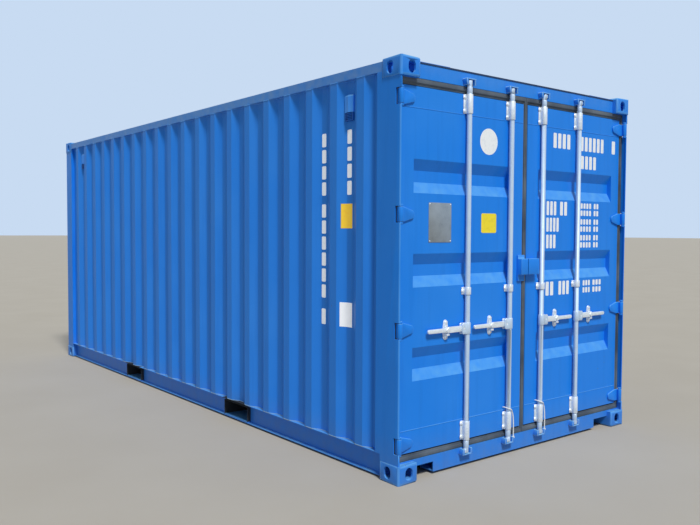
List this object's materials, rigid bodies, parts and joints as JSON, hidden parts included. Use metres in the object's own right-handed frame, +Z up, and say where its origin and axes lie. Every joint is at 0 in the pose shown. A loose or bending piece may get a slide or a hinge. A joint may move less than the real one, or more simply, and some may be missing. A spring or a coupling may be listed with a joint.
{
  "type": "shipping container",
  "caption": "Twenty-foot steel shipping container with corrugated walls, hinged end doors, locking bars with handles, corner castings and fork pockets.",
  "frame": {"origin": "on the ground, under the middle of the container", "axes": "+Z up, +Y along the length towards the closed front end, so the doors face -Y; +X to the right seen from outside the doors"},
  "size_m": [2.438, 6.0603, 2.591],
  "materials": {
    "blue_paint": "satin",
    "galvanised_steel": "satin",
    "gasket_rubber": "matte",
    "floor_plywood": "satin",
    "floor_steel": "satin",
    "rope_fibre": "matte"
  },
  "bodies": {
    "container": {"rear_castings": "blue_paint", "front_castings": "blue_paint", "rear_posts": "blue_paint", "front_posts": "blue_paint", "door_header": "blue_paint", "door_sill": "blue_paint", "front_top_rail": "blue_paint", "front_bottom_rail": "blue_paint", "top_side_rails": "blue_paint", "bottom_side_rails": "blue_paint", "left_side_wall": "blue_paint", "right_side_wall": "blue_paint", "front_wall": "blue_paint", "roof_panel": "blue_paint", "roof_end_plates": "blue_paint", "roof_corner_plates": "blue_paint", "floor_boards": "floor_plywood", "floor_strip": "floor_steel", "crossmembers": "blue_paint", "fork_pocket_tops": "blue_paint", "fork_pocket_sides": "blue_paint", "fork_pocket_straps": "blue_paint", "ventilators": "blue_paint", "hinge_lugs": "blue_paint", "bar_keepers": "blue_paint"},
    "left_door": {"left_door_frame": "blue_paint", "left_door_panel": "blue_paint", "left_door_gasket": "gasket_rubber", "left_hinge_blades": "blue_paint", "left_bar_brackets": "galvanised_steel", "left_handle_retainers": "galvanised_steel", "left_lock_flange": "blue_paint", "left_tie_rope": "rope_fibre", "left_rope_knot": "rope_fibre"},
    "right_door": {"right_door_frame": "blue_paint", "right_door_panel": "blue_paint", "right_door_gasket": "gasket_rubber", "right_hinge_blades": "blue_paint", "right_bar_brackets": "galvanised_steel", "right_handle_retainers": "galvanised_steel", "right_lock_box": "blue_paint", "right_tie_rope": "rope_fibre", "right_rope_knot": "rope_fibre"},
    "left_outer_bar": {"left_outer_bar": "galvanised_steel"},
    "left_outer_handle": {"left_outer_handle": "galvanised_steel"},
    "left_inner_bar": {"left_inner_bar": "galvanised_steel"},
    "left_inner_handle": {"left_inner_handle": "galvanised_steel"},
    "right_inner_bar": {"right_inner_bar": "galvanised_steel"},
    "right_inner_handle": {"right_inner_handle": "galvanised_steel"},
    "right_outer_bar": {"right_outer_bar": "galvanised_steel"},
    "right_outer_handle": {"right_outer_handle": "galvanised_steel"}
  },
  "joints": [
    {"name": "left_door_hinge", "type": "hinge", "parent": "container", "child": "left_door", "pos_m": [-1.196, -3.009, 1.3], "axis": [0, 0, -1], "range_deg": [0, 260]},
    {"name": "right_door_hinge", "type": "hinge", "parent": "container", "child": "right_door", "pos_m": [1.196, -3.009, 1.3], "axis": [0, 0, 1], "range_deg": [0, 260]},
    {"name": "left_outer_bar_turn", "type": "hinge", "parent": "left_door", "child": "left_outer_bar", "pos_m": [-0.598, -3.004, 1.3], "axis": [0, 0, -1], "range_deg": [-100, 0]},
    {"name": "left_outer_handle_lift", "type": "hinge", "parent": "left_outer_bar", "child": "left_outer_handle", "pos_m": [-0.64, -3.004, 0.915], "axis": [0, 1, 0], "range_deg": [0, 25]},
    {"name": "left_inner_bar_turn", "type": "hinge", "parent": "left_door", "child": "left_inner_bar", "pos_m": [-0.175, -3.004, 1.3], "axis": [0, 0, -1], "range_deg": [-100, 0]},
    {"name": "left_inner_handle_lift", "type": "hinge", "parent": "left_inner_bar", "child": "left_inner_handle", "pos_m": [-0.217, -3.004, 0.915], "axis": [0, 1, 0], "range_deg": [0, 25]},
    {"name": "right_inner_bar_turn", "type": "hinge", "parent": "right_door", "child": "right_inner_bar", "pos_m": [0.175, -3.004, 1.3], "axis": [0, 0, 1], "range_deg": [-100, 0]},
    {"name": "right_inner_handle_lift", "type": "hinge", "parent": "right_inner_bar", "child": "right_inner_handle", "pos_m": [0.217, -3.004, 0.915], "axis": [0, -1, 0], "range_deg": [0, 25]},
    {"name": "right_outer_bar_turn", "type": "hinge", "parent": "right_door", "child": "right_outer_bar", "pos_m": [0.598, -3.004, 1.3], "axis": [0, 0, 1], "range_deg": [-100, 0]},
    {"name": "right_outer_handle_lift", "type": "hinge", "parent": "right_outer_bar", "child": "right_outer_handle", "pos_m": [0.64, -3.004, 0.915], "axis": [0, -1, 0], "range_deg": [0, 25]}
  ]
}
